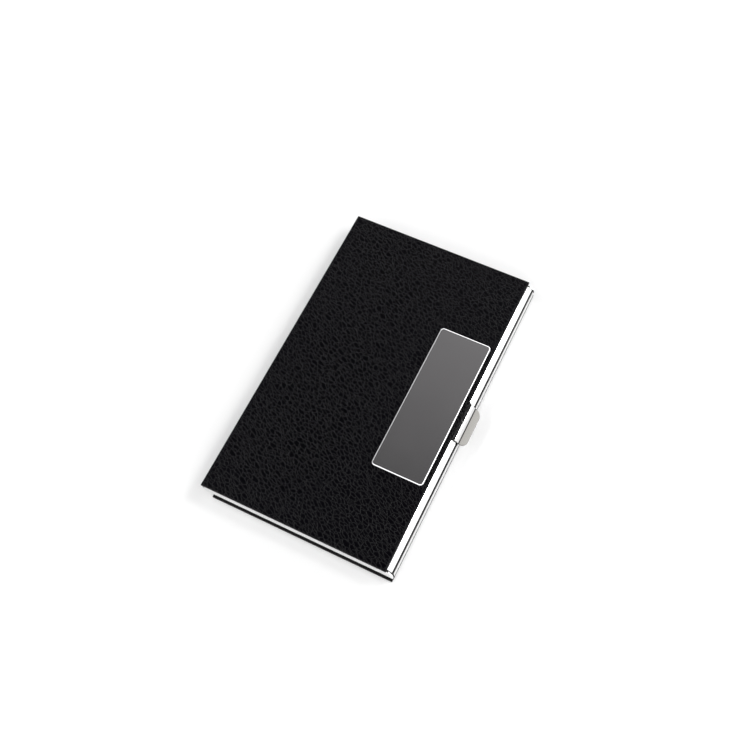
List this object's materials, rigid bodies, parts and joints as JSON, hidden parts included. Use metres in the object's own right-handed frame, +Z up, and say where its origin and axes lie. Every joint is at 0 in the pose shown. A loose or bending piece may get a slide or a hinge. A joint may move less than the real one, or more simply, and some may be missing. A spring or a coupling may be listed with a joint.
{
  "type": "business card case",
  "caption": "Slim pocket case for business cards: hinged pressed-steel lid and tray, black leather panels, blank name plate and a thumb clasp.",
  "frame": {"origin": "centre of the case's footprint, at the underside of the base panel", "axes": "+X along the hinge, the long way of the case; the clasp faces -Y; +Z up through the lid"},
  "size_m": [0.0954, 0.06, 0.0077],
  "materials": {
    "polished_steel": "polished",
    "spring_steel": "satin",
    "satin_plate": "fine satin",
    "black_leather": "semi-matte pebbled grain",
    "glue_sheet": "matte"
  },
  "bodies": {
    "tray": {"tray_shell": "polished_steel", "base_glue_sheet": "glue_sheet", "base_leather": "black_leather", "hinge_pin": "spring_steel", "card_spring_foot": "spring_steel", "spring_rivets": "spring_steel"},
    "lid": {"lid_shell": "polished_steel", "lid_glue_sheet": "glue_sheet", "lid_leather": "black_leather", "nameplate_tape": "glue_sheet", "nameplate": "satin_plate", "clasp_root": "polished_steel", "clasp_rivets": "spring_steel"},
    "clasp": {"clasp": "polished_steel"},
    "leaf": {"card_spring": "spring_steel"}
  },
  "joints": [
    {"name": "lid_hinge", "type": "hinge", "parent": "tray", "child": "lid", "pos_m": [0, 0.02877, 0.0022], "axis": [-1, 0, 0], "range_deg": [0, 100]},
    {"name": "clasp_flex", "type": "hinge", "parent": "lid", "child": "clasp", "pos_m": [-0.0006, -0.02635, 0.0065], "axis": [-1, 0, 0], "range_deg": [0, 2], "stiffness_Nm_per_rad": 0.1},
    {"name": "leaf_flex", "type": "hinge", "parent": "tray", "child": "leaf", "pos_m": [0, 0.01777, 0.00153], "axis": [1, 0, 0], "range_deg": [0, 3.8], "stiffness_Nm_per_rad": 0.3}
  ]
}
